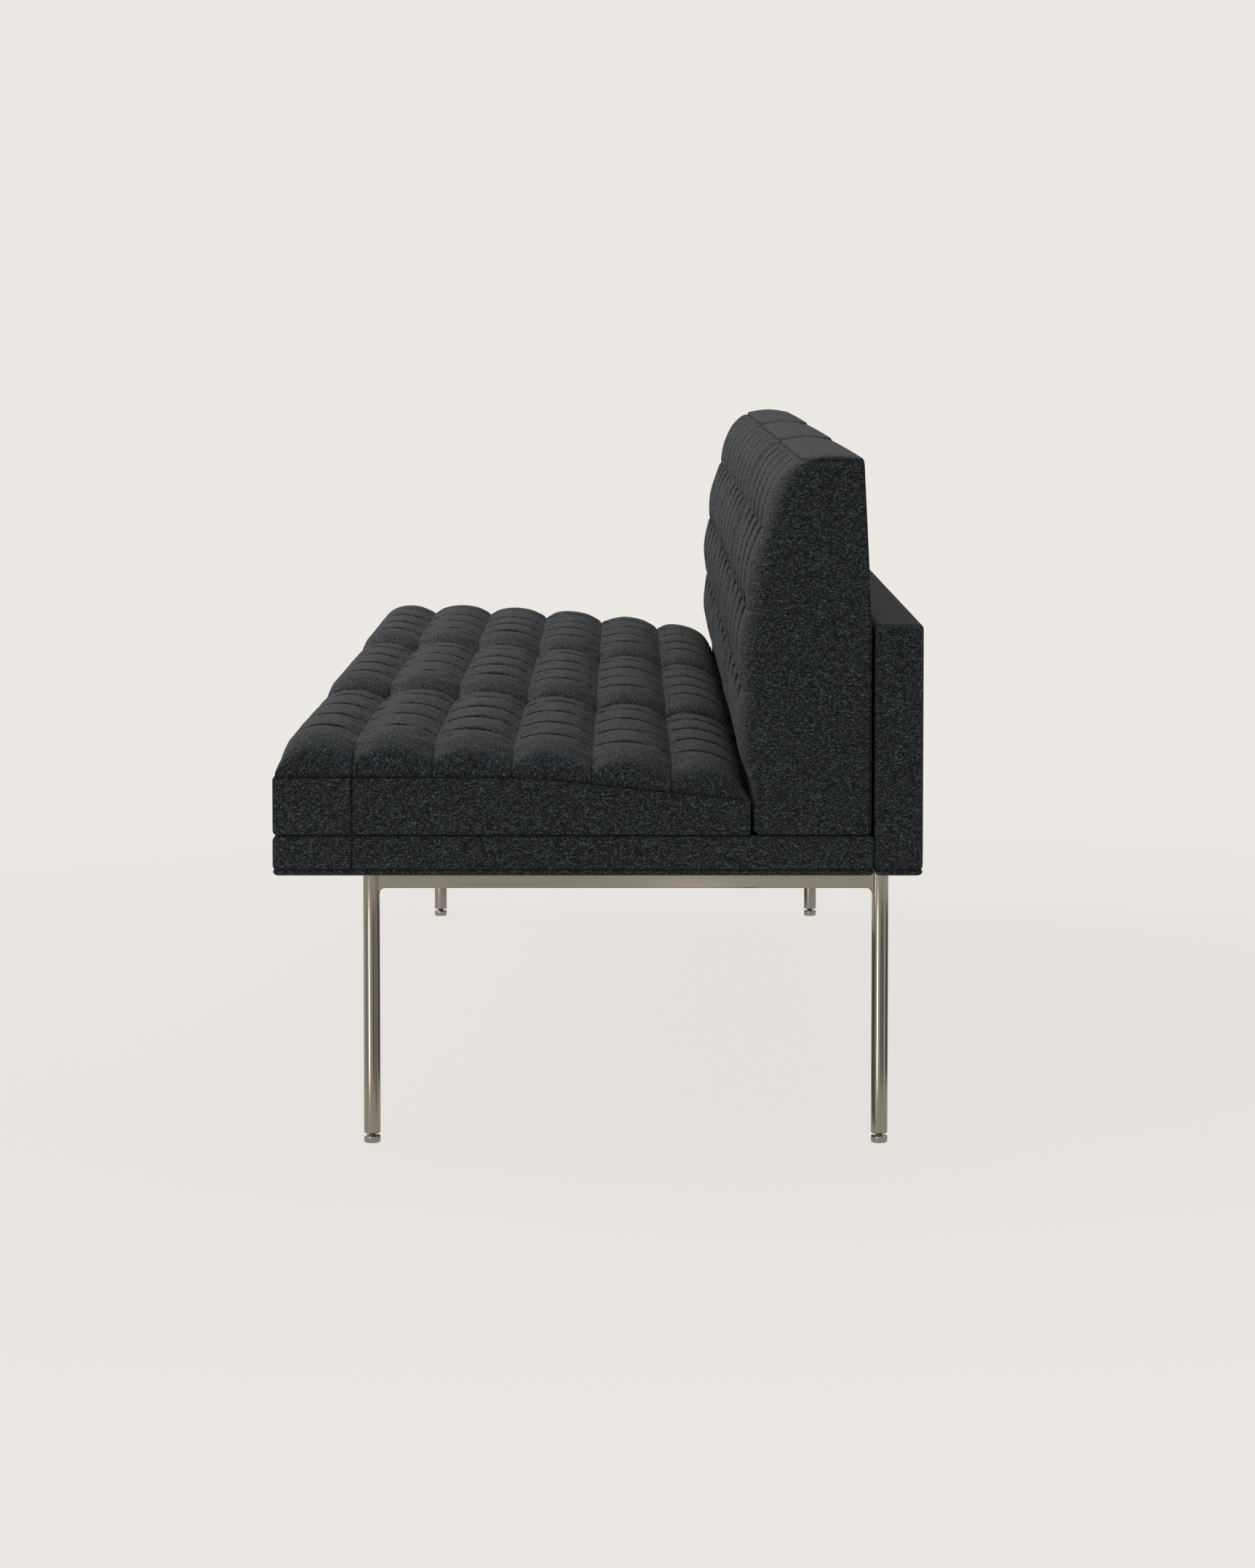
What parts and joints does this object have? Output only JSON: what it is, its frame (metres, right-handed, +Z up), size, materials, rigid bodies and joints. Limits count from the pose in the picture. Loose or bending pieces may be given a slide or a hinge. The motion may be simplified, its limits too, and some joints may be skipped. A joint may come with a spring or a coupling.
{
  "type": "modular sofa",
  "caption": "Armless upholstered sofa with loose tufted seat and back cushions on a thin base, a low padded back rail, and a slim steel under-frame with levelling feet.",
  "frame": {"origin": "on the floor under the middle of the sofa's outer box", "axes": "+X along the width, the front faces -Y, +Z up"},
  "size_m": [2.286, 0.711, 0.7883],
  "materials": {
    "upholstery": "heathered twill, charcoal with pale flecks",
    "satin_steel": "satin",
    "glide": "satin",
    "frame_wood": "sawn and planed",
    "foam": "open cell foam",
    "webbing": "woven elastic",
    "dust_cloth": "non-woven",
    "plated_steel": "zinc plated"
  },
  "bodies": {
    "sofa": {"leg_front_left": "satin_steel", "leg_front_right": "satin_steel", "leg_rear_left": "satin_steel", "leg_rear_right": "satin_steel", "under_rail_left": "satin_steel", "under_rail_right": "satin_steel", "under_rail_front": "satin_steel", "under_rail_rear": "satin_steel", "mounting_tabs": "satin_steel", "base_front_rail": "frame_wood", "base_rear_rail": "frame_wood", "base_end_rail_left": "frame_wood", "base_end_rail_right": "frame_wood", "base_cross_rail_left_outer": "frame_wood", "base_cross_rail_left_inner": "frame_wood", "base_cross_rail_right_outer": "frame_wood", "base_cross_rail_right_inner": "frame_wood", "base_corner_blocks": "frame_wood", "back_bottom_rail": "frame_wood", "back_top_rail": "frame_wood", "back_panel": "frame_wood", "back_post_left_end": "frame_wood", "back_post_left_inner": "frame_wood", "back_post_right_end": "frame_wood", "back_post_right_inner": "frame_wood", "base_cover": "upholstery", "back_cover": "upholstery", "back_bolts": "plated_steel", "seat_webbing": "webbing", "dust_cover": "dust_cloth"},
    "seat_left": {"seat_cushion_left": "upholstery", "seat_core_left": "foam"},
    "back_left": {"back_cushion_left": "upholstery", "back_core_left": "foam"},
    "seat_middle": {"seat_cushion_middle": "upholstery", "seat_core_middle": "foam"},
    "back_middle": {"back_cushion_middle": "upholstery", "back_core_middle": "foam"},
    "seat_right": {"seat_cushion_right": "upholstery", "seat_core_right": "foam"},
    "back_right": {"back_cushion_right": "upholstery", "back_core_right": "foam"},
    "foot_front_left": {"glide_front_left": "glide"},
    "foot_front_right": {"glide_front_right": "glide"},
    "foot_rear_left": {"glide_rear_left": "glide"},
    "foot_rear_right": {"glide_rear_right": "glide"}
  },
  "joints": [
    {"name": "seat_left_slide", "type": "slide", "parent": "sofa", "child": "seat_left", "axis": [0, -1, 0], "range_m": [0, 0.3]},
    {"name": "back_left_lift", "type": "slide", "parent": "sofa", "child": "back_left", "axis": [0, 0, 1], "range_m": [0, 0.3]},
    {"name": "seat_middle_slide", "type": "slide", "parent": "sofa", "child": "seat_middle", "axis": [0, -1, 0], "range_m": [0, 0.3]},
    {"name": "back_middle_lift", "type": "slide", "parent": "sofa", "child": "back_middle", "axis": [0, 0, 1], "range_m": [0, 0.3]},
    {"name": "seat_right_slide", "type": "slide", "parent": "sofa", "child": "seat_right", "axis": [0, -1, 0], "range_m": [0, 0.3]},
    {"name": "back_right_lift", "type": "slide", "parent": "sofa", "child": "back_right", "axis": [0, 0, 1], "range_m": [0, 0.3]},
    {"name": "glide_front_left_height", "type": "slide", "parent": "sofa", "child": "foot_front_left", "axis": [0, 0, 1], "range_m": [-0.012, 0.0022]},
    {"name": "glide_front_right_height", "type": "slide", "parent": "sofa", "child": "foot_front_right", "axis": [0, 0, 1], "range_m": [-0.012, 0.0022]},
    {"name": "glide_rear_left_height", "type": "slide", "parent": "sofa", "child": "foot_rear_left", "axis": [0, 0, 1], "range_m": [-0.012, 0.0022]},
    {"name": "glide_rear_right_height", "type": "slide", "parent": "sofa", "child": "foot_rear_right", "axis": [0, 0, 1], "range_m": [-0.012, 0.0022]}
  ]
}
